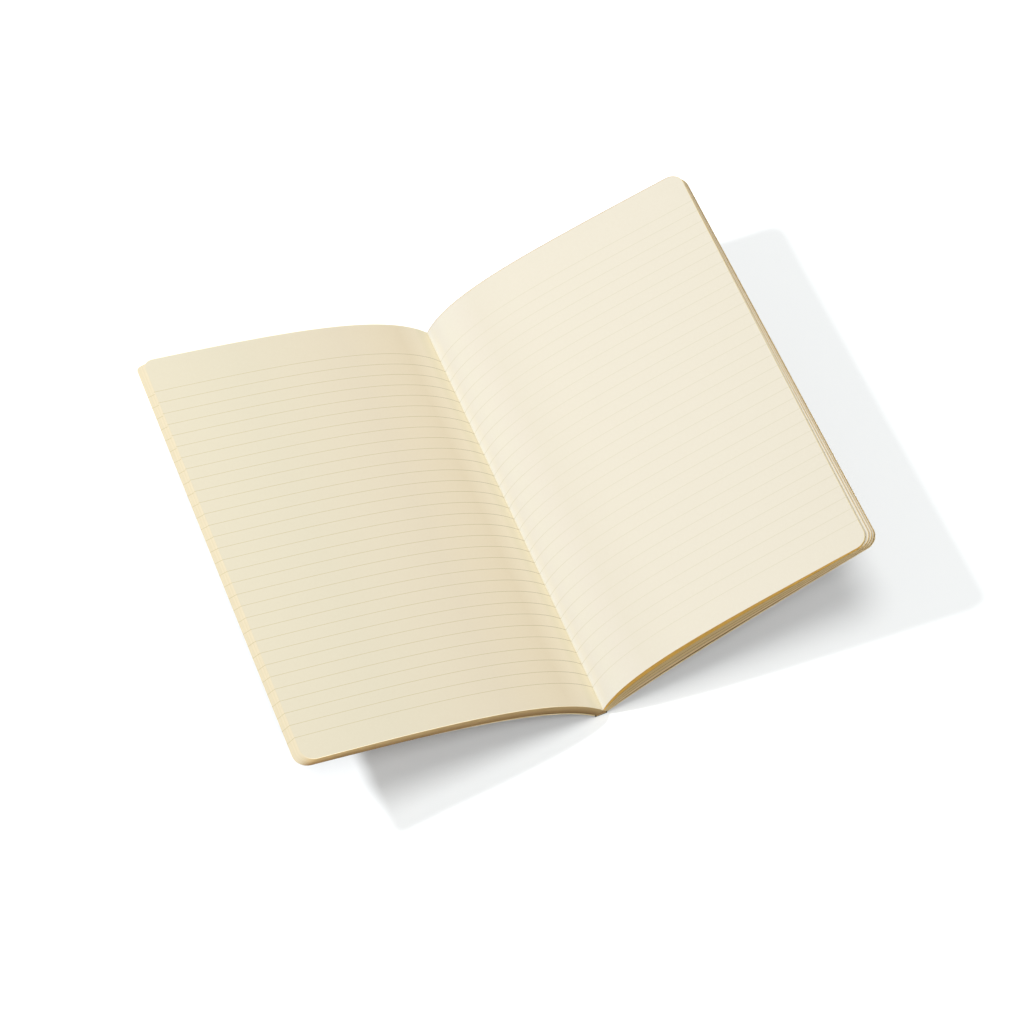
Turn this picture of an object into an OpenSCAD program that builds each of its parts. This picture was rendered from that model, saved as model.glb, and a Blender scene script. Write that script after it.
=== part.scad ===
// Soft-cover ruled notebook lying open on its spine, both halves raised in a shallow V.
// X runs across the pages, Y along the spine with the head of the book at +Y, Z is up.
// The origin is the middle of the spine's flat underside.
// Each half is drawn as a section in XZ: curves whose slope is steep at the binding and
// eases out to the straight wing, exactly as bound paper bends. The section is then
// extruded along the spine, and its fore-edge corners are cut round.

/* [Notebook] */
// Height of the leaves and cover, along the spine
page_h = 210; // [150:1:260]
// Mean width of a leaf from the fold to the fore edge, along the paper
leaf_w = 138.4; // [100:0.1:170]
// Width of each cover board from its score line to the fore edge, along the card
cover_w = 135.6; // [98:0.1:168]
// Radius of the rounded fore-edge corners
corner_r = 6; // [3:0.5:16]
// Thickness of the cover card
card_t = 0.5; // [0.3:0.05:0.8]

/* [Spine] */
// Outside width of the spine between the two score lines
spine_w = 5.6; // [5:0.1:9]
// Height of the score lines above the surface the spine stands on
score_z = 1; // [0.9:0.1:1.6]
// Radius of the folds along the underside of the spine
spine_r = 0.5; // [0.3:0.05:0.6]
// Thickness of the glue film between the leaves and the spine
glue_t = 0.3; // [0.1:0.05:0.35]
// Height of the fold between the two open pages
fold_z = 3.4; // [3:0.1:6]
// Distance of the fold to the right of the spine's middle
fold_x = 1.2; // [0:0.1:1.8]
// How much more of the left top page shows at the fold, and less of the right one
fold_shift = 1.9; // [0:0.1:3]

/* [Left half] */
// Slope of the top page out on the left wing, in degrees
left_wing_angle = 11.5; // [5:0.5:25]
// Extra slope of the top page at the fold, in degrees
left_lift_angle = 44.5; // [35:0.5:55]
// Distance over which that extra slope dies away
left_bend = 34.7; // [20:0.1:50]
// Depth of the left leaves at their fore edge
left_edge = 2.3; // [1.5:0.1:6]
// Extra slope of the front cover at its score line, in degrees
left_card_lift_angle = 36; // [25:1:42]
// Distance over which the cover's extra slope dies away
left_card_bend = 32.7; // [20:0.1:40]
// Air between the leaves and the front cover where the gap is widest
left_air = 0.3; // [0:0.1:2]
// Groups that the left leaves part into at their edges
left_groups = 4; // [2:1:5]
// Share of the left stack's depth that is air between its groups
left_loose_share = 0.12; // [0.1:0.01:0.5]
// How far the lowest left leaf is drawn in at the fore edge
left_draw = 1; // [0:0.1:6]

/* [Right half] */
// Slope of the top page out on the right wing, in degrees
right_wing_angle = 15.5; // [5:0.5:25]
// Extra slope of the top page at the fold, in degrees
right_lift_angle = 50; // [25:0.5:58]
// Distance over which that extra slope dies away
right_bend = 23.7; // [20:0.1:50]
// Depth of the right leaves at their fore edge
right_edge = 3.9; // [1.5:0.1:6]
// Extra slope of the back cover at its score line, in degrees
right_card_lift_angle = 9.5; // [5:0.5:20]
// Distance over which the cover's extra slope dies away
right_card_bend = 42.6; // [20:0.1:50]
// Air between the leaves and the back cover where the gap is widest
right_air = 0.7; // [0:0.1:2]
// Groups that the right leaves part into at their edges
right_groups = 4; // [2:1:6]
// Share of the right stack's depth that is air between its groups
right_loose_share = 0.6; // [0.1:0.01:0.65]
// How far the lowest right leaf is drawn in at the fore edge
right_draw = 1.2; // [0:0.1:6]

/* [Fits] */
// Clearance between the lowest leaves and the inside of a cover
cover_clear = 0.3; // [0.3:0.05:0.6]
// Half the gap left open along each score line, so a cover swings free
score_clear = 0.15; // [0.15:0.05:0.25]
// Share of the leaf's width, from the fold, over which the groups stay pressed together
closed_share = 0.1; // [0.06:0.01:0.3]

/* [Hidden] */
LEFT = -1;
RIGHT = 1;
STATIONS = 20;
STATION_EASE = 1.5;
OPENING_STATIONS = 5;
ARC_STEPS = 5;
CORNER_STEPS = 8;
CUT_MARGIN = 3;
OVERRUN = 1;

// Values that belong to one half, picked by its side
function half(side, left, right) = side == LEFT ? left : right;
page_wing = [left_wing_angle, right_wing_angle];
page_lift = [left_lift_angle, right_lift_angle];
page_bend = [left_bend, right_bend];
card_lift = [left_card_lift_angle, right_card_lift_angle];
card_bend = [left_card_bend, right_card_bend];
edge = [left_edge, right_edge];
air = [left_air, right_air];
loose = [left_loose_share, right_loose_share];
groups = [left_groups, right_groups];
draw = [left_draw, right_draw];
function pick(side, pair) = half(side, pair[0], pair[1]);

// Station j of a curve of length w: close together at the fold, wide apart on the wing
function station(j, w) = w * pow(j / STATIONS, STATION_EASE);

// Slope in degrees at distance s, then the curve that has this slope, mirrored by side
function slope(s, wing, lift, bend) = wing + lift * exp(-s / bend);
function chord(side, a, b, wing, lift, bend) =
    let (m = slope((a + b) / 2, wing, lift, bend))
    (b - a) * [side * cos(m), sin(m)];
function curve(side, start, w, wing, lift, bend) =
    [for (j = 0, p = start; j <= STATIONS;
          p = j < STATIONS
              ? p + chord(side, station(j, w), station(j + 1, w), wing, lift, bend)
              : p,
          j = j + 1) p];

// How much of a top page shows, and its curve from the fold to the fore edge
function top_w(side) = leaf_w - side * fold_shift;
function top_page(side) =
    curve(side, [fold_x, fold_z], top_w(side),
          pick(side, page_wing), pick(side, page_lift), pick(side, page_bend));

// A cover curls up from its score line by its lift. Its lean brings it under the fore
// edge of the top page, with the depth of the leaves between them.
function low_w(side) = top_w(side) - pick(side, draw);
function card_start(side) = [side * spine_w / 2, score_z];
function under_edge(side) =
    let (wing = pick(side, page_wing))
    top_page(side)[STATIONS]
    + [side * sin(wing), -cos(wing)] * (pick(side, edge) + card_t + cover_clear);
function curl(side) =
    curve(side, [0, 0], low_w(side), 0, pick(side, card_lift), pick(side, card_bend));
function bearing(p) = atan2(p[1], abs(p[0]));
card_wing = [for (side = [LEFT, RIGHT])
    bearing(under_edge(side) - card_start(side)) - bearing(curl(side)[STATIONS])];

// The outside of a cover, from its score line outwards
function card_slope(side, s) =
    slope(s, pick(side, card_wing), pick(side, card_lift), pick(side, card_bend));
function card_line(side, w) =
    curve(side, card_start(side), w,
          pick(side, card_wing), pick(side, card_lift), pick(side, card_bend));
// Unit normal of the cover towards the leaves
function card_normal(side, s) =
    [-side * sin(card_slope(side, s)), cos(card_slope(side, s))];
// Air between leaves and cover: none at the binding, widest one bend length out
function card_air(side, s) =
    let (b = pick(side, card_bend))
    pick(side, air) * s / b * exp(1 - s / b);

// The underside of the lowest leaf follows the cover at that distance
function low_page(side) =
    let (line = card_line(side, low_w(side)))
    [for (j = [0 : STATIONS])
        let (s = station(j, low_w(side)))
        line[j] + card_normal(side, s) * (card_t + cover_clear + card_air(side, s))];

// A line through the stack, a share u of the way down from the top page
function between(side, j, u) =
    let (t = top_page(side)[j], b = low_page(side)[j])
    t + (b - t) * u;
function stack_up(side, j) =
    let (d = top_page(side)[j] - low_page(side)[j])
    d / norm(d);
function stack_depth(side, j) = norm(top_page(side)[j] - low_page(side)[j]);
// The slots share the stack's air, and open over a few stations past the closed part
first_open = ceil(STATIONS * pow(closed_share, 1 / STATION_EASE));
function slot_at(side, j) =
    pick(side, loose) * stack_depth(side, j) / (pick(side, groups) - 1)
    * min(1, (j - first_open) / OPENING_STATIONS);
function slot_face(side, j, u, sign) =
    between(side, j, u) + stack_up(side, j) * sign * slot_at(side, j) / 2;
// In along the lower face of one group, and out again along the next group's top
function slot_path(side, u) = concat(
    [for (j = [STATIONS : -1 : first_open + 1]) slot_face(side, j, u, 1)],
    [between(side, first_open, u)],
    [for (j = [first_open + 1 : STATIONS]) slot_face(side, j, u, -1)]);
function group_share(side, g) = g / pick(side, groups);

// One half of the section: out along the top page, in and out of each slot, back below
function half_section(side) = concat(
    top_page(side),
    [for (g = [1 : pick(side, groups) - 1]) each slot_path(side, group_share(side, g))],
    [for (j = [STATIONS : -1 : 0]) low_page(side)[j]]);

function reversed(list) = [for (i = [len(list) - 1 : -1 : 0]) list[i]];

inner_w = spine_w - 2 * card_t;
block_z = card_t + glue_t;
// The bound back of the leaves, seated between the spine's two walls
back_edge = [
    [inner_w / 2, score_z - score_clear],
    [inner_w / 2, block_z],
    [-inner_w / 2, block_z],
    [-inner_w / 2, score_z - score_clear]];

// Extrudes a section drawn in XZ along the whole spine
module along_spine(h) {
    rotate([90, 0, 0])
        linear_extrude(height = h, center = true)
            children();
}

// What a round corner takes off a square one. The squash narrows it across the fore
// edge, for a stack whose edge leans.
module corner_waste(squash) {
    arc = [for (i = [0 : CORNER_STEPS])
        let (a = 90 * i / CORNER_STEPS)
        [squash * corner_r * (sin(a) - 1), corner_r * (cos(a) - 1)]];
    polygon(concat(
        arc,
        [[CUT_MARGIN, -corner_r], [CUT_MARGIN, CUT_MARGIN]],
        [[-squash * corner_r, CUT_MARGIN]]));
}

// Cuts both corners of a fore edge that passes through p. The cut runs up along the
// edge's own lean from the vertical.
module round_corners(side, p, lean, squash, above, below) {
    for (flip = [0, 1])
        mirror([0, flip, 0])
            translate([p[0], 0, p[1]])
                mirror([side == LEFT ? 1 : 0, 0, 0])
                    rotate([0, lean, 0])
                        translate([0, page_h / 2, -below])
                            linear_extrude(height = above + below)
                                corner_waste(squash);
}

// The fanned fore edge of a stack leans, and its sheets meet it at a slant
module stack_corners(side) {
    up = stack_up(side, STATIONS);
    along = between(side, STATIONS, 0.5) - between(side, STATIONS - 1, 0.5);
    lean = atan2(side * up[0], up[1]);
    squash = abs(along * [up[1], -up[0]]) / norm(along);
    round_corners(side, low_page(side)[STATIONS], lean, squash,
                  stack_depth(side, STATIONS) + corner_r, OVERRUN);
}

module pages() {
    color("#efe6cf")
        difference() {
            along_spine(page_h)
                polygon(concat(
                    half_section(RIGHT),
                    back_edge,
                    reversed(half_section(LEFT))));
            stack_corners(LEFT);
            stack_corners(RIGHT);
        }
}

module spine_glue() {
    color("#d9c48c")
        along_spine(page_h)
            translate([-inner_w / 2, card_t])
                square([inner_w, glue_t]);
}

// Quarter round of the spine's underside, on one side
function fold_arc(side) =
    [for (i = [0 : ARC_STEPS])
        let (a = 90 * i / ARC_STEPS)
        [side * (spine_w / 2 - spine_r + spine_r * sin(a)), spine_r - spine_r * cos(a)]];

module spine() {
    wall_z = score_z - score_clear;
    color("#a9845a")
        along_spine(page_h)
            polygon(concat(
                fold_arc(RIGHT),
                [[spine_w / 2, wall_z], [inner_w / 2, wall_z], [inner_w / 2, card_t]],
                [[-inner_w / 2, card_t], [-inner_w / 2, wall_z], [-spine_w / 2, wall_z]],
                reversed(fold_arc(LEFT))));
}

module cover(side) {
    line = card_line(side, cover_w);
    // The card starts just past its score line
    lead = score_clear * [side * cos(card_slope(side, 0)), sin(card_slope(side, 0))];
    outside = concat([line[0] + lead], [for (j = [1 : STATIONS]) line[j]]);
    inside = [for (j = [0 : STATIONS])
        outside[j] + card_normal(side, station(j, cover_w)) * card_t];
    difference() {
        along_spine(page_h)
            polygon(concat(outside, reversed(inside)));
        round_corners(side, line[STATIONS], -card_slope(side, cover_w), 1,
                      card_t + OVERRUN, OVERRUN);
    }
}

module front_cover() {
    color("#b9935f")
        cover(LEFT);
}

module back_cover() {
    color("#b9935f")
        cover(RIGHT);
}

pages();
spine_glue();
spine();
front_cover();
back_cover();
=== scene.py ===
# %% [markdown]
# An open notebook with a soft card cover. It stands on its narrow spine, and both halves
# rise from it in a shallow V. What makes it read as a real book is paper: dozens of thin
# leaves, all bent at the binding and fanned at their edges. So the solid block of the
# frame is replaced here by single leaves, and the card by one bent sheet each side.

# %% Load the frame
import bpy
import bmesh
import math
import random
from mathutils import Matrix, Vector


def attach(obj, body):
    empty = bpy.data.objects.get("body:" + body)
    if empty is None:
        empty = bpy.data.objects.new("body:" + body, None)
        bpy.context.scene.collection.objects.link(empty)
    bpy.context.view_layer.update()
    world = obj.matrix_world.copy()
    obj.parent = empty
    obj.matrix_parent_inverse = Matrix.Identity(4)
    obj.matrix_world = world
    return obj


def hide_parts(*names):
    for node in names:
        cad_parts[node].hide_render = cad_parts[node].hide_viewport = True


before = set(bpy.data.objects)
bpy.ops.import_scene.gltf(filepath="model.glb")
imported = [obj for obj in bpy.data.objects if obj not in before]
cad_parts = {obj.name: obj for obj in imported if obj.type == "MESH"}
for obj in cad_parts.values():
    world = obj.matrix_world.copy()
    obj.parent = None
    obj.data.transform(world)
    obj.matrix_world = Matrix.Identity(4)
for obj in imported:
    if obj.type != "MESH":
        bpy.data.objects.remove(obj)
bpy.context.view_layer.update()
random.seed(7)

# %% [markdown]
# Every length is written in millimetres, as a bookbinder would give it, and is turned
# into metres only when it goes into a mesh. The two halves have the same leaves but lie
# differently, so each has its own row of values. The slope of the top page is wing at its
# fore edge and lift more at the fold, and dies away over bend. The same holds for the card
# with card_lift and card_bend. The half is edge_depth thick at its fore edge, with a slack
# of up to air over the card in the bend. The line of its lowest leaf is draw shorter than
# the top page's, and each corner of its fore edge lies taper further in than at the fold.

# %% Sizes of the book
MM = 0.001
page_height = 210
leaf_width = 138.4
cover_width = 135.6
corner_radius = 6
card_thickness = 0.5
spine_width = 5.6
score_height = 1           # of the score lines above the ground
score_gap = 0.15           # between a board and its score line
fold = Vector((1.2, 3.4))  # where the two open pages meet, across and up
fold_shift = 1.9           # by which the left page is wider than its half of the sheet
cover_clearance = 0.3      # between the card and the lowest leaf

halves = {
    "left": dict(side=-1, wing=11.5, lift=44.5, bend=34.7, card_lift=36, card_bend=32.7,
                 edge_depth=2.3, air=0.3, draw=1, taper=0),
    "right": dict(side=1, wing=15.5, lift=50, bend=23.7, card_lift=9.5, card_bend=42.6,
                  edge_depth=3.9, air=0.7, draw=1.2, taper=1.6),
}
print("page", leaf_width, "x", page_height, "mm")

# %% [markdown]
# A bound leaf is steep at the fold, and eases out to a straight wing. Its slope at a
# distance s along the paper is wing + lift * exp(-s / bend). A curve drawn point by point
# by hand would look dented, so the slope is added up in small steps from the fold out.
# The frame uses the same rule, which keeps the leaves inside it.

# %% The bend of a sheet
STEPS = 240

def bent_line(start, width, side, wing, lift, bend):
    """Points and upward normals along a sheet, from the binding to the fore edge."""
    point, points, normals = Vector(start), [], []
    step = width / STEPS
    for i in range(STEPS + 1):
        slope = math.radians(wing + lift * math.exp(-i * step / bend))
        points.append(point.copy())
        normals.append(Vector((-side * math.sin(slope), math.cos(slope))))
        middle = math.radians(wing + lift * math.exp(-(i + 0.5) * step / bend))
        point = point + step * Vector((side * math.cos(middle), math.sin(middle)))
    return points, normals

def bearing(p):
    """How steeply p lies above the start of its line, in degrees."""
    return math.degrees(math.atan2(p[1], abs(p[0])))

for half in halves.values():
    side = half["side"]
    half["width"] = leaf_width - side * fold_shift
    half["top"], half["top_normals"] = bent_line(
        fold, half["width"], side, half["wing"], half["lift"], half["bend"])
    low_width = half["width"] - half["draw"]
    score = Vector((side * spine_width / 2, score_height))
    under = half["top"][-1] - half["top_normals"][-1] * (
        half["edge_depth"] + card_thickness + cover_clearance)
    curl = bent_line((0, 0), low_width, side, 0, half["card_lift"], half["card_bend"])[0]
    half["card_wing"] = bearing(under - score) - bearing(curl[-1])
    line, normals = bent_line(
        score, low_width, side, half["card_wing"], half["card_lift"], half["card_bend"])
    half["low"] = []
    for i, (p, n) in enumerate(zip(line, normals)):
        reach = i / STEPS * low_width / half["card_bend"]
        air = half["air"] * reach * math.exp(1 - reach)
        half["low"].append(p + n * (card_thickness + cover_clearance + air))
    outward = (half["top"][-1] - half["top"][-2]).normalized()
    half["fan"] = (half["low"][-1] - half["top"][-1]).dot(outward)
    print("card lies at", round(half["card_wing"], 2), "degrees, the leaves fan by",
          round(half["fan"], 2), "mm")

# %% [markdown]
# All leaves are trimmed together in a guillotine, and the two outer corners are punched
# round. So each sheet starts flat: a grid of one face, its fore-edge corners bevelled to
# an arc, then sliced where it will bend, and given its thickness. It could also be a
# curve filled and extruded, but slices put the points just where the bend needs them:
# close together at the fold. An inset leaves a narrow rim of faces along its border, to
# be coloured like the cut edge. In the narrow gaps between the leaves this rim is what
# shows, so the shade that falls there is painted on it.

# %% One trimmed flat sheet
rim = 0.22
corner_steps = 10
crowding = 1.5  # above 1, the slices crowd towards the fold
sharp_angle = math.radians(40)
same_place = 1e-4

def flat_sheet(width, height, thickness, columns=34, rows=6, inset=0.0,
               head_radius=corner_radius):
    """A sheet from x = inset to x = width, with its two far corners rounded."""
    bm = bmesh.new()
    bmesh.ops.create_grid(bm, x_segments=1, y_segments=1, size=0.5)
    bmesh.ops.scale(bm, verts=bm.verts, vec=(width - inset, height, 1))
    bmesh.ops.translate(bm, verts=bm.verts, vec=((width + inset) / 2, 0, 0))
    far = [v for v in bm.verts if v.co.x > width / 2]
    for corner in far:
        radius = head_radius if corner.co.y > 0 else corner_radius
        bmesh.ops.bevel(bm, geom=[corner], offset=radius, affect="VERTICES",
                        segments=corner_steps, profile=0.5, material=-1)
    # the rim takes the cut-edge colour, which paints the shade seen in the gaps between
    # leaves
    rim_mark = bm.faces.layers.int.new("rim")
    for face in bmesh.ops.inset_region(bm, faces=bm.faces[:], thickness=rim,
                                       use_even_offset=True, use_boundary=True)["faces"]:
        face[rim_mark] = face.calc_center_median().x > inset + rim
    cuts = [(Vector((width * (i / columns) ** crowding, 0, 0)), Vector((1, 0, 0)))
            for i in range(1, columns)]
    cuts += [(Vector((0, height * (i / rows - 0.5), 0)), Vector((0, 1, 0)))
             for i in range(1, rows)]
    for place, across in cuts:
        bmesh.ops.bisect_plane(bm, geom=bm.verts[:] + bm.edges[:] + bm.faces[:],
                               dist=same_place, plane_co=place, plane_no=across)
    bmesh.ops.recalc_face_normals(bm, faces=bm.faces)
    if bm.faces[:][0].normal.z < 0:
        bmesh.ops.reverse_faces(bm, faces=bm.faces)
    top = bmesh.ops.extrude_face_region(bm, geom=bm.faces[:])
    bmesh.ops.translate(bm, vec=(0, 0, thickness),
                        verts=[v for v in top["geom"] if isinstance(v, bmesh.types.BMVert)])
    bmesh.ops.recalc_face_normals(bm, faces=bm.faces)
    for edge in bm.edges:
        edge.smooth = edge.calc_face_angle(0) < sharp_angle
    for face in bm.faces:
        face.smooth = True
    return bm

trial = flat_sheet(leaf_width, page_height, 0.1)
print("flat sheet:", len(trial.faces), "faces, volume",
      round(trial.calc_volume(), 1), "mm3")
trial.free()

# %% [markdown]
# Colours are written as the hex values that a paint program shows. Blender works with
# amounts of light instead, so one function turns them into those, and a shade between two
# colours is a plain mix of what it gives.

# %% Colours
def linear(hex_colour):
    """An sRGB hex colour as the linear values that Blender works in."""
    parts = [int(hex_colour[i:i + 2], 16) / 255 for i in (1, 3, 5)]
    return [c / 12.92 if c <= 0.04045 else ((c + 0.055) / 1.055) ** 2.4 for c in parts]

def blend_colours(a, b, share):
    """A share of 0 gives the first colour, and 1 the second."""
    return [x + (y - x) * share for x, y in zip(linear(a), linear(b))]

print("a middle grey is", round(linear("#808080")[0], 3), "of the light of white")

# %% [markdown]
# The edges of a stack of paper show other colours than its pages: the cut ends of the
# leaves shade each other, and the light that comes through cream paper turns golden.
# Their colours are set below as the paper's own edge colour with this shade and golden
# light painted in. They could be faces with a material of their own, but then the change
# round the corner would be a step. Each sheet therefore carries a colour for its cut edges
# in an attribute, with full strength on the cut faces and on the rim beside them. Head and
# tail show one colour, painted for the shade they lie in, and the fore edge another,
# painted for the light that falls on it; they run into each other round the corner.

# %% Bend a sheet and paint its edges
def along(points, share):
    """The place a share of the way along a bent line."""
    place = min(max(share, 0), 1) * STEPS
    i = min(int(place), STEPS - 1)
    return points[i].lerp(points[i + 1], place - i)

def bend_sheet(bm, line_at, tail_colour, fore_colour, width, side, head_out, tail_out):
    """Moves each vertex of a flat sheet to its bent place, and paints its cut edges.
    line_at gives that place for q, which runs from 0 at the fold to 1 at the fore edge.
    There the head lies head_out mm further up the page, and the tail tail_out mm down."""
    paint = bm.loops.layers.float_color.new("edge_colour_and_shade")
    flat_place = bm.loops.layers.uv.new("flat_sheet")
    rim_mark = bm.faces.layers.int["rim"]
    for face in bm.faces:
        on_edge = abs(face.normal.z) < 0.5 or face[rim_mark]
        into_corner = face.calc_center_median().x - (width - corner_radius)
        turned = min(max(into_corner / (corner_radius - rim / 2), 0), 1)
        tail_share = (1 - turned ** 2) ** 2
        colour = [f + (t - f) * tail_share for f, t in zip(fore_colour, tail_colour)]
        for loop in face.loops:
            loop[paint] = (*colour, 1.0 if on_edge else 0.0)
            loop[flat_place].uv = (side * loop.vert.co.x * MM, loop.vert.co.y * MM)
    for v in bm.verts:
        q = v.co.x / width
        x, z = line_at(q, v.co.y, v.co.z)
        stretch = (head_out if v.co.y > 0 else tail_out) * q / (page_height / 2)
        v.co = Vector((x, v.co.y * (1 + stretch), z)) * MM
    if bm.calc_volume(signed=True) < 0:
        bmesh.ops.reverse_faces(bm, faces=bm.faces)

print("the left page ends at", [round(c, 1) for c in along(halves["left"]["top"], 1)], "mm")

# %% [markdown]
# Dozens of single leaves would be a burden as objects, so the sheets of a stack are joined
# in one mesh. A finished piece then gets its place in the frame: the body that it moves
# with, and the solids that it stands in for.

# %% Join sheets into a piece
def finished_piece(name, sheets, body, slot, *nodes):
    """Joins bent sheets into one piece that rides on a body."""
    joined = bmesh.new()
    for bm in sheets:
        part = bpy.data.meshes.new("part")
        bm.to_mesh(part)
        joined.from_mesh(part)
        bm.free()
        bpy.data.meshes.remove(part)
    mesh = bpy.data.meshes.new(name)
    joined.to_mesh(mesh)
    joined.free()
    piece = bpy.data.objects.new(name, mesh)
    bpy.context.scene.collection.objects.link(piece)
    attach(piece, body)
    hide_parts(*nodes)
    print(name, "has", len(mesh.polygons), "faces")
    return piece

# %% [markdown]
# Where a leaf lies is told by its share of the way down from the top page, which has 0, to
# the lowest leaf, which has 1. Paper is never quite flat, so each leaf but the top one also
# has a faint ripple. A cloth simulation could bend the leaves, but they lie so close that
# they would cut through each other, and this rule keeps them in order.

# %% One leaf
leaf_thickness = 0.09
ripple_share = 0.012
ripple_length = 31  # mm down the page for one radian of the wave
ripple_lean = 5     # radians from the fold to the fore edge
full_turn = 6.3

def leaf(half, share, at_head, at_tail, tail_colour, fore_colour, sag=0.0,
         head_radius=corner_radius, head_out=0.0, tail_out=0.0):
    """One bent leaf. Its fore edge lies at_head and at_tail mm past the top page's, and
    its head and tail edges reach head_out and tail_out mm past theirs."""
    side, top, low = half["side"], half["top"], half["low"]
    normals = half["top_normals"]
    wave = random.uniform(0, full_turn)
    ripple = 0.0 if share == 0 else ripple_share
    width = half["width"]
    bm = flat_sheet(width, page_height, leaf_thickness, head_radius=head_radius)
    def line_at(q, y, z):
        past = at_head + (at_tail - at_head) * (0.5 - y / page_height)
        stretch = 1 + (past - share * half["fan"]) / width * q
        pressed = share * (1 - sag * math.sin(math.pi * min(q, 1)))
        phase = wave + y / ripple_length + ripple_lean * q
        pressed += ripple * math.sin(phase) * math.sin(math.pi * q)
        pressed = min(max(pressed, 0), 1)
        s = q * stretch
        a, b = along(top, s), along(low, s)
        if s > 1:
            a = a + (top[-1] - top[-2]) * (s - 1) * STEPS
            b = b + (low[-1] - low[-2]) * (s - 1) * STEPS
        return a.lerp(b, pressed) + along(normals, s) * (z - leaf_thickness * (1 - share))
    bend_sheet(bm, line_at, tail_colour, fore_colour, width, side,
               head_out - half["taper"], tail_out - half["taper"])
    return bm

print("a leaf is", leaf_thickness, "mm thick, and ripples by", ripple_share, "of the depth")

# %% [markdown]
# The left leaves are pressed close, and only sag away from the card in the bend. They lie
# a little askew: the upper ones stick out at the head, the lower at the tail. Their cut
# ends are painted darker on the way down, for the shade of the leaves above, and no two
# have quite the same tone. The top leaf's cut ends, which nothing shades, are painted
# lighter.

# %% The left leaves
left, right = halves["left"], halves["right"]
left_count = 20
upper_count = 3
upper_corner, lower_corner = 4.8, 2.6
upper_at_head, lowest_at_tail = 1.3, 1.2
left_sag = 0.1
askew = 0.15
painted_shade_below, mixed_shades = 0.9, 0.25

left_sheets = []
for i in range(left_count):
    share = i / (left_count - 1)
    past = share * left["fan"] + random.uniform(-askew, askew) * (0 < share < 1)
    # painted shade: a leaf's cut ends darken with its depth below the top page, plus a
    # random tone of its own
    painted_shade_and_tone = min(painted_shade_below * share + mixed_shades * random.random(), 1)
    tail = blend_colours("#c9ae7c", "#8f7047", painted_shade_and_tone)
    fore = blend_colours("#c5b9a0", "#c0b498", random.random())
    # painted light: the top leaf's cut ends are lighter, as no leaf shades them
    if i == 0:
        tail = linear("#e4d8b8")
    upper = i < upper_count
    left_sheets.append(leaf(left, share, past, past, tail, fore, sag=left_sag,
                            head_radius=upper_corner if upper else lower_corner,
                            head_out=upper_at_head if upper else 0,
                            tail_out=lowest_at_tail * share))
left_leaves = finished_piece("left_leaves", left_sheets, "book_block", "page_paper",
                             "pages")

# %% [markdown]
# The right leaves have parted into four groups, with dark gaps between them, and each
# group sticks out a little past the one above it at the fore edge. A group could be one
# thick block, but single leaves give it its fine lines. Shade is painted into the colours
# of their cut ends: golden at head and tail, where the light comes through the leaves
# above, browner at the fore edge, where each group shades the next, and darker still on
# the last leaf of a group, which lies in the shade of the gap. The top leaf's ends are
# painted darker too, so that its rim, which faces the lamp, still reads as a shaded edge.

# %% The right leaves
# the tail and fore colours of each group hold painted shade and golden light
right_groups = [
    dict(count=9, first=0.0, last=0.31, at_head=1.75, at_tail=-0.9,
         tail=("#dab058", "#cfa24c"), fore=("#c3b387", "#b9a574")),
    dict(count=7, first=0.34, last=0.56, at_head=1.75, at_tail=0.75,
         tail=("#c8b184", "#bda476"), fore=("#b89c68", "#ad9058")),
    dict(count=7, first=0.58, last=0.79, at_head=2.2, at_tail=1.8,
         tail=("#c4ad80", "#b79e71"), fore=("#b89c68", "#ad9058")),
    dict(count=5, first=0.87, last=1.0, at_head=2.6, at_tail=2.6,
         tail=("#cfb88c", "#c2a97c"), fore=("#c4ab7c", "#b99f70")),
]
right_sheets = []
for group in right_groups:
    for i in range(group["count"]):
        depth = group["last"] - group["first"]
        share = group["first"] + depth * i / (group["count"] - 1)
        tail = blend_colours(*group["tail"], random.random())
        fore = blend_colours(*group["fore"], random.random())
        # painted shade: the top leaf's ends are darker so its lit rim reads as shaded, and
        # a group's last leaf is darker for the gap
        if share == 0:
            tail = linear("#a68349")
        elif i == group["count"] - 1:
            tail = linear("#8c6c43")
        right_sheets.append(
            leaf(right, share, group["at_head"], group["at_tail"], tail, fore))
right_leaves = finished_piece("right_leaves", right_sheets, "book_block", "page_paper",
                              "pages")

# %% [markdown]
# At the spine the leaves end in a solid back, where they were folded, pressed and glued.
# Every fold could be drawn, but only the two ends of the back are ever seen, and there the
# folds are too fine to tell apart. So it is a plain prism: a few vertices for its section,
# filled and extruded along the spine.

# %% The bound back
half_back = 2.3  # half the width of the back
glue_top = 0.8   # where the back stands on the glue
shoulder = 0.85  # where it starts to narrow towards the leaves
back_section = [fold, left["low"][0],
                Vector((-half_back, shoulder)), Vector((-half_back, glue_top)),
                Vector((half_back, glue_top)), Vector((half_back, shoulder)),
                right["low"][0]]
back = bmesh.new()
ring = [back.verts.new(Vector((p[0], -page_height / 2, p[1])) * MM) for p in back_section]
face = back.faces.new(ring)
swept = bmesh.ops.extrude_face_region(back, geom=[face])
bmesh.ops.translate(back, vec=(0, page_height * MM, 0),
                    verts=[v for v in swept["geom"] if isinstance(v, bmesh.types.BMVert)])
bmesh.ops.recalc_face_normals(back, faces=back.faces)
# painted shade: the back is coloured one dark brown all over, for the shade at its ends
# down in the binding
paint = back.loops.layers.float_color.new("edge_colour_and_shade")
for f in back.faces:
    for loop in f.loops:
        loop[paint] = (*linear("#8a6c42"), 1.0)
bound_back = finished_piece("bound_back", [back], "book_block", "page_paper", "pages")

# %% [markdown]
# The cover is card, scored along both edges of the spine so that it folds there. A board
# could be a bent surface with a Solidify modifier. The flat sheet of a leaf, only thicker
# and a little narrower, brings its round corners and its cut edge with it, so it is used
# here again, and bent along its own line.

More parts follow.
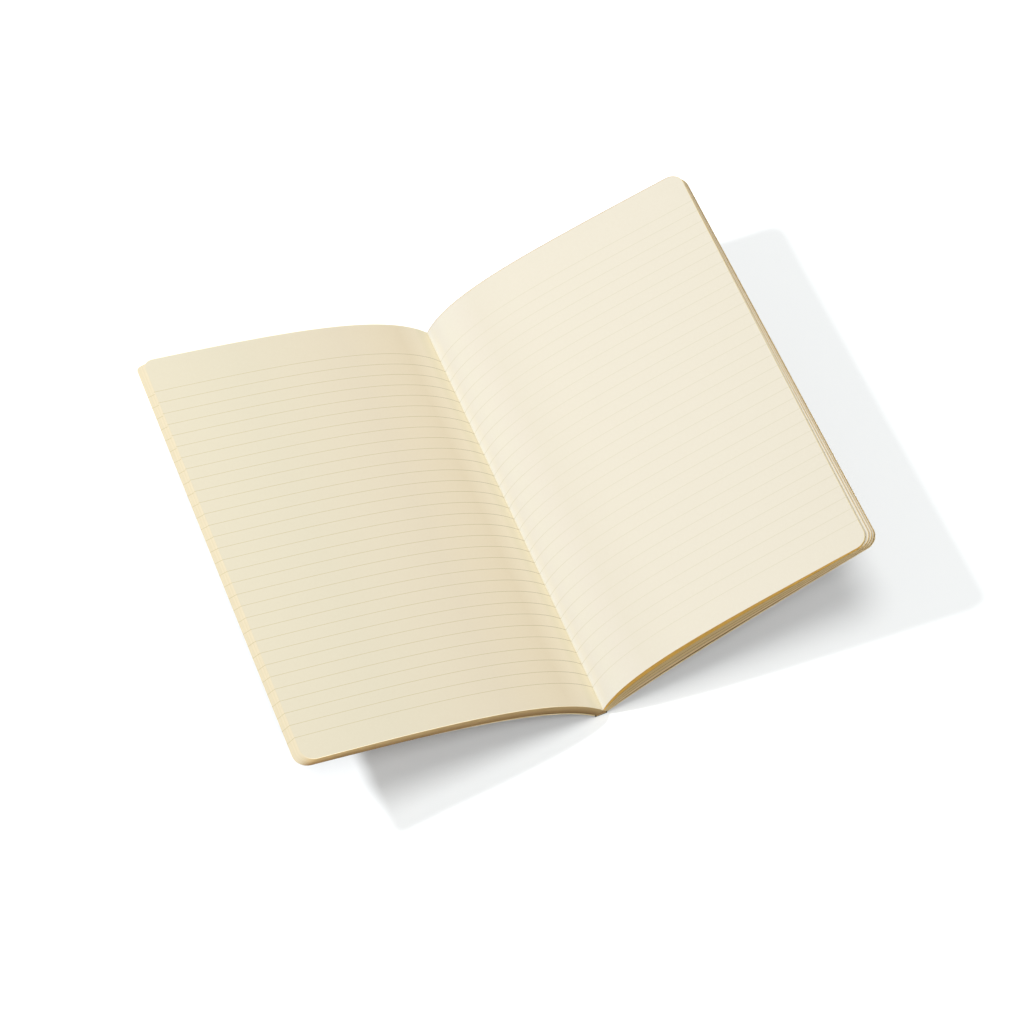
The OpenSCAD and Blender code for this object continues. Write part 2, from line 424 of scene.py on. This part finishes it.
# %% The two boards
def board(half):
    """The card of one half, from its score line to its fore edge."""
    line, normals = bent_line(
        (half["side"] * spine_width / 2, score_height), cover_width, half["side"],
        half["card_wing"], half["card_lift"], half["card_bend"])
    bm = flat_sheet(cover_width, page_height, card_thickness, inset=score_gap)
    def line_at(q, y, z):
        return along(line, q) + along(normals, q) * z
    bend_sheet(bm, line_at, linear("#cdb78a"), linear("#cdb88c"), cover_width,
               half["side"], -half["taper"], -half["taper"])
    return bm

front_board = finished_piece("front_board", [board(left)], "front_cover", "cover_card",
                             "front_cover")
back_board = finished_piece("back_board", [board(right)], "back_cover", "cover_card",
                            "back_cover")

# %% [markdown]
# A material is a small network of nodes. One helper adds a node, sets its values and
# links its inputs, so that each finish below reads from top to bottom like a recipe. A Mix
# node has the same names for its numbers, vectors and colours, so its sockets are picked
# by their place: 0 is the factor, 6 and 7 are the two colours, and output 2 is the mix.

# %% A helper for nodes
def add(owner, kind, values=None, links=None, **settings):
    """Adds one node: values for its sockets, links into them, and its own settings."""
    node = owner.node_tree.nodes.new(kind)
    for name, value in settings.items():
        setattr(node, name, value)
    for socket, value in (values or {}).items():
        node.inputs[socket].default_value = value
    for socket, source in (links or {}).items():
        owner.node_tree.links.new(source, node.inputs[socket])
    return node

def new_material(name):
    material = bpy.data.materials.new(name)
    material.use_nodes = True
    material.node_tree.nodes.clear()
    return material

def pattern_scale(grain):
    """The Scale of a pattern with grains of so many millimetres."""
    return 1 / (grain * MM)

trial = new_material("trial")
mix = add(trial, "ShaderNodeMix")
print("inputs of a Mix node:", [socket.name for socket in mix.inputs])
bpy.data.materials.remove(trial)

# %% [markdown]
# Fine beige rules are printed on the pages, 6 mm apart, and bleed off at the fore edge.
# They could be drawn as an image, but a rule is only a band across the sheet, so
# arithmetic on the flat-sheet coordinates draws them sharp at any distance. As every leaf
# has them at the same height, they also tick the fanned edge of the stack, as on the real
# one.

# %% The rules
rule_pitch = 6.03
first_rule = 87.7
rule_count = 31
rule_thickness = 0.22

paper = new_material("uncoated cream book paper")
place = add(paper, "ShaderNodeTexCoord")
flat = add(paper, "ShaderNodeUVMap", uv_map="flat_sheet")
axes = add(paper, "ShaderNodeSeparateXYZ", links={0: flat.outputs["UV"]})
down = add(paper, "ShaderNodeMath", {0: first_rule * MM}, {1: axes.outputs["Y"]},
           operation="SUBTRACT")
count = add(paper, "ShaderNodeMath", {1: rule_pitch * MM}, {0: down.outputs[0]},
            operation="DIVIDE")
nearest = add(paper, "ShaderNodeMath", links={0: count.outputs[0]}, operation="ROUND")
held = add(paper, "ShaderNodeClamp", {"Min": 0, "Max": rule_count - 1},
           {"Value": nearest.outputs[0]})
off_rule = add(paper, "ShaderNodeMath",
               links={0: count.outputs[0], 1: held.outputs[0]}, operation="SUBTRACT")
distance = add(paper, "ShaderNodeMath", links={0: off_rule.outputs[0]},
               operation="ABSOLUTE")
on_rule = add(paper, "ShaderNodeMath", {1: rule_thickness / 2 / rule_pitch},
              {0: distance.outputs[0]}, operation="LESS_THAN")
print("rules:", rule_count, "every", rule_pitch, "mm")

# %% [markdown]
# The pages are uncoated cream book paper: matt, and faintly mottled, because no coating
# hides its fibres. Thin paper lets light through: where the leaves stand up from the fold
# they glow, warm on the left page and paler on the right, which faces the lamp. That glow,
# the light thrown back from the facing page, and the shade where a page turns from the lamp
# are painted into the paper: a ramp of colour over the distance from the fold, counted
# negative on the left. It could be left to translucent shading, but many leaves lie there,
# and it would take far more light bounces.

# %% Cream paper and its painted light and shade
fibre_clump = 1.111  # a fibre is 0.03 mm wide, too fine to show, so clumps are drawn
fibres = add(paper, "ShaderNodeTexNoise",
             {"Scale": pattern_scale(fibre_clump), "Detail": 6, "Roughness": 0.65},
             {"Vector": place.outputs["Object"]})
mottle = add(paper, "ShaderNodeMix",
             {6: (*linear("#fcf7e7"), 1), 7: (*linear("#f7f0dd"), 1)},
             {0: fibres.outputs["Fac"]}, data_type="RGBA")
# painted light and shade: a ramp over the distance from the fold multiplies the paper
# colour
light_and_shade_reach = 100
from_fold = add(paper, "ShaderNodeMapRange",
                {"From Min": -light_and_shade_reach * MM, "From Max": light_and_shade_reach * MM},
                {"Value": axes.outputs["X"]})
light_and_shade_ramp = add(paper, "ShaderNodeValToRGB", links={"Fac": from_fold.outputs["Result"]})
light_and_shade_stops = [(-50, "#c7c0b6"), (-20, "#d2c9bb"), (-10, "#e0d9ce"), (-6, "#e0dbce"),
         (-2, "#e7e2d5"), (-0.4, "#dfd9ca"), (0.3, "#ced0d4"), (1.5, "#cdced5"),
         (4, "#cbcaca"), (6.5, "#c8c7c9"), (12.5, "#c8c7c6"), (23, "#c5c2c1"),
         (30, "#c3c0bd"), (50, "#c5c2bf")]
stops = light_and_shade_ramp.color_ramp.elements
stops[0].color = (*linear("#c1bdb4"), 1)
stops[1].color = (*linear("#c6c3c0"), 1)
for millimetres, colour in light_and_shade_stops:
    stops.new(0.5 + millimetres / (2 * light_and_shade_reach)).color = (*linear(colour), 1)
with_light_and_shade = add(paper, "ShaderNodeMix", {0: 1.0},
             {6: mottle.outputs[2], 7: light_and_shade_ramp.outputs["Color"]},
             data_type="RGBA", blend_type="MULTIPLY")
print("the tint has", len(stops), "stops")

# %% [markdown]
# Now the layers are laid over each other as on the real sheet: paper first, the painted
# cut edges over it, and the ink on top. The rules look fainter on the right page, where
# the lamp shines on them more squarely, so the ink has two shades. The fibres also raise
# the surface a little, which keeps the paper from shining.

# %% The finished paper
edge_colour_and_shade = add(paper, "ShaderNodeAttribute", attribute_name="edge_colour_and_shade")
with_edges = add(paper, "ShaderNodeMix",
                 links={0: edge_colour_and_shade.outputs["Alpha"], 6: with_light_and_shade.outputs[2],
                        7: edge_colour_and_shade.outputs["Color"]}, data_type="RGBA")
on_right = add(paper, "ShaderNodeMath", {1: 0}, {0: axes.outputs["X"]},
               operation="GREATER_THAN")
ink = add(paper, "ShaderNodeMix", {6: (*linear("#aa9e7f"), 1), 7: (*linear("#b6af98"), 1)},
          {0: on_right.outputs[0]}, data_type="RGBA")
ruled = add(paper, "ShaderNodeMix",
            links={0: on_rule.outputs[0], 6: with_edges.outputs[2], 7: ink.outputs[2]},
            data_type="RGBA")
tooth = add(paper, "ShaderNodeBump", {"Strength": 0.12, "Distance": 0.00005},
            {"Height": fibres.outputs["Fac"]})
body_of_paper = add(paper, "ShaderNodeBsdfPrincipled",
                    {"Roughness": 0.85, "IOR": 1.45, "Specular IOR Level": 0.3},
                    {"Base Color": ruled.outputs[2], "Normal": tooth.outputs["Normal"]})
add(paper, "ShaderNodeOutputMaterial", links={"Surface": body_of_paper.outputs[0]})
print(paper.name, "has", len(paper.node_tree.nodes), "nodes")

# %% [markdown]
# The card is dark brown kraft board: long fibres lie in it, some lighter and some darker,
# and its surface is slightly hairy, so it shines less than smooth card. The flecks could
# be single strokes, but a noise that is stretched along the fibres gives the same look.

# %% Kraft card
fibre_length = 2.381
fibre_slimness = 5  # the real one is near 60, too thin to show, so they are drawn wider
fibre_turn = 0.6
stain = 40
kraft = new_material("kraft card")
place = add(kraft, "ShaderNodeTexCoord")
stretched = add(kraft, "ShaderNodeMapping",
                {"Rotation": (0, 0, fibre_turn), "Scale": (1, fibre_slimness, 1)},
                {"Vector": place.outputs["Object"]})
flecks = add(kraft, "ShaderNodeTexNoise",
             {"Scale": pattern_scale(fibre_length), "Detail": 8, "Roughness": 0.7},
             {"Vector": stretched.outputs[0]})
wash = add(kraft, "ShaderNodeTexNoise", {"Scale": pattern_scale(stain), "Detail": 2},
           {"Vector": place.outputs["Object"]})
brown = add(kraft, "ShaderNodeMix",
            {6: (*linear("#5c4530"), 1), 7: (*linear("#4e3a27"), 1)},
            {0: flecks.outputs["Fac"]}, data_type="RGBA")
uneven = add(kraft, "ShaderNodeMix", {7: (*linear("#574230"), 1)},
             {0: wash.outputs["Fac"], 6: brown.outputs[2]}, data_type="RGBA")
card_edge = add(kraft, "ShaderNodeAttribute", attribute_name="edge_colour_and_shade")
with_card_edge = add(kraft, "ShaderNodeMix",
                     links={0: card_edge.outputs["Alpha"], 6: uneven.outputs[2],
                            7: card_edge.outputs["Color"]}, data_type="RGBA")
hairs = add(kraft, "ShaderNodeBump", {"Strength": 0.25, "Distance": 0.0001},
            {"Height": flecks.outputs["Fac"]})
board_body = add(kraft, "ShaderNodeBsdfPrincipled", {"Roughness": 0.75, "IOR": 1.45},
                 {"Base Color": with_card_edge.outputs[2],
                  "Normal": hairs.outputs["Normal"]})
add(kraft, "ShaderNodeOutputMaterial", links={"Surface": board_body.outputs[0]})
print(kraft.name, "has", len(kraft.node_tree.nodes), "nodes")

# %% [markdown]
# Bookbinder's white glue is brushed on and dries to a smooth amber film, a little darker
# where it lies thicker. It shows only as a thin line at the ends of the spine, so a soft
# noise between two ambers is enough.

# %% Dried glue
brush_mark = 3.333
glue = new_material("dried binding glue")
place = add(glue, "ShaderNodeTexCoord")
thickness = add(glue, "ShaderNodeTexNoise",
                {"Scale": pattern_scale(brush_mark), "Detail": 3},
                {"Vector": place.outputs["Object"]})
amber = add(glue, "ShaderNodeMix",
            {6: (*linear("#c9ae72"), 1), 7: (*linear("#b39455"), 1)},
            {0: thickness.outputs["Fac"]}, data_type="RGBA")
film = add(glue, "ShaderNodeBsdfPrincipled", {"Roughness": 0.35, "IOR": 1.48},
           {"Base Color": amber.outputs[2]})
add(glue, "ShaderNodeOutputMaterial", links={"Surface": film.outputs[0]})
print(glue.name, "has", len(glue.node_tree.nodes), "nodes")

# %% [markdown]
# A finish could be copied for each piece, but one that pieces share is easy to change. The
# spine and the glue film are plain and hardly show, so they keep the shape that they have
# in the frame, and only get their finish here.

# %% Give every piece its finish
def finish_with(piece, material):
    piece.data.materials.clear()
    piece.data.materials.append(material)

for piece in (left_leaves, right_leaves, bound_back):
    finish_with(piece, paper)
for piece in (front_board, back_board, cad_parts["spine"]):
    finish_with(piece, kraft)
finish_with(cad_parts["spine_glue"], glue)
print("materials:", [m.name for m in (paper, kraft, glue)])

# %% [markdown]
# The book stands on a white sweep of matt paper, wide enough that its end never shows.
# One flat face is all it takes. It belongs to the studio and not to the book.

# %% The floor
floor_reach = 4
floor_bm = bmesh.new()
bmesh.ops.create_grid(floor_bm, x_segments=1, y_segments=1, size=floor_reach)
floor_mesh = bpy.data.meshes.new("floor")
floor_bm.to_mesh(floor_mesh)
floor_bm.free()
floor = bpy.data.objects.new("floor", floor_mesh)
bpy.context.scene.collection.objects.link(floor)
white = new_material("matt white paper sweep")
sheet = add(white, "ShaderNodeBsdfPrincipled",
            {"Base Color": (*linear("#edeeee"), 1), "Roughness": 0.9,
             "Specular IOR Level": 0.1})
add(white, "ShaderNodeOutputMaterial", links={"Surface": sheet.outputs[0]})
finish_with(floor, white)
print("the floor reaches", floor_reach, "m each way")

# %% [markdown]
# The studio is bright. The key lamp is a small round one on the left, a little behind and
# about a metre away. It stands so near that its shadow spreads: it leans out further on
# the right of the book than on the left. Two big soft boxes, one straight above and one in
# front, light the pages and fill that shadow, and the studio's white walls add a little
# even light. The soft boxes are far away, so sun lamps with a wide disc stand in for them.

# %% The lamps
key_place = (-0.555, 0.17, 0.852)
key_power = 29.2
key_tint = (0.97, 1, 1.03)
key_radius = 0.052
box_tint = (0.985, 1, 1)
box_spread = 25
wall_light = 0.18

def soft_lamp(name, shines_along, energy, spread, colour):
    """A distant lamp. The wider its spread in degrees, the softer its shadow."""
    lamp_data = bpy.data.lights.new(name, "SUN")
    lamp_data.energy = energy
    lamp_data.color = colour
    lamp_data.angle = math.radians(spread)
    lamp = bpy.data.objects.new(name, lamp_data)
    lamp.rotation_euler = Vector(shines_along).to_track_quat("-Z", "Y").to_euler()
    bpy.context.scene.collection.objects.link(lamp)

key_data = bpy.data.lights.new("key", "POINT")
key_data.energy = key_power
key_data.color = key_tint
key_data.shadow_soft_size = key_radius
key = bpy.data.objects.new("key", key_data)
key.location = key_place
bpy.context.scene.collection.objects.link(key)
soft_lamp("overhead soft box", (0, 0, -1), 1.41, box_spread, box_tint)
soft_lamp("front soft box", (0, 0.58, -1), 1.65, box_spread, box_tint)

studio = bpy.data.worlds.new("studio")
bpy.context.scene.world = studio
studio.use_nodes = True
studio.node_tree.nodes.clear()
walls = add(studio, "ShaderNodeBackground",
            {"Color": (1, 1, 1, 1), "Strength": wall_light})
add(studio, "ShaderNodeOutputWorld", links={"Surface": walls.outputs[0]})
bpy.context.scene.view_settings.view_transform = "Standard"
print("lamps:", [lamp.name for lamp in bpy.data.lights])

# %% [markdown]
# The camera was found by matching the gutter, the fore edges and the printed rules to
# the photograph: a long lens, high above the tail of the book and a little to its left,
# rolled so that the book lies askew in the picture. A camera could be aimed by a Track To
# constraint, but three axes at right angles hold the roll as well.

# %% The camera
camera_place = Vector((-189.8, -691.6, 1177.0)) * MM
lens = 110.8
azimuth, elevation, roll = math.radians(-15.45), math.radians(58.52), math.radians(-7.07)
back_axis = Vector((math.sin(azimuth) * math.cos(elevation),
                    -math.cos(azimuth) * math.cos(elevation), math.sin(elevation)))
right_axis = Vector((math.cos(azimuth), math.sin(azimuth), 0))
up_axis = back_axis.cross(right_axis)
rolled_right = right_axis * math.cos(roll) + up_axis * math.sin(roll)
rolled_up = up_axis * math.cos(roll) - right_axis * math.sin(roll)
camera_data = bpy.data.cameras.new("camera")
camera_data.sensor_width = 36
camera_data.lens = lens
camera_data.clip_start, camera_data.clip_end = 0.05, 20
camera = bpy.data.objects.new("camera", camera_data)
turn = Matrix((rolled_right, rolled_up, back_axis)).transposed()
camera.matrix_world = Matrix.Translation(camera_place) @ turn.to_4x4()
bpy.context.scene.collection.objects.link(camera)
bpy.context.scene.camera = camera
print("camera with a", lens, "mm lens,", round(camera_place.length, 2), "m from the book")
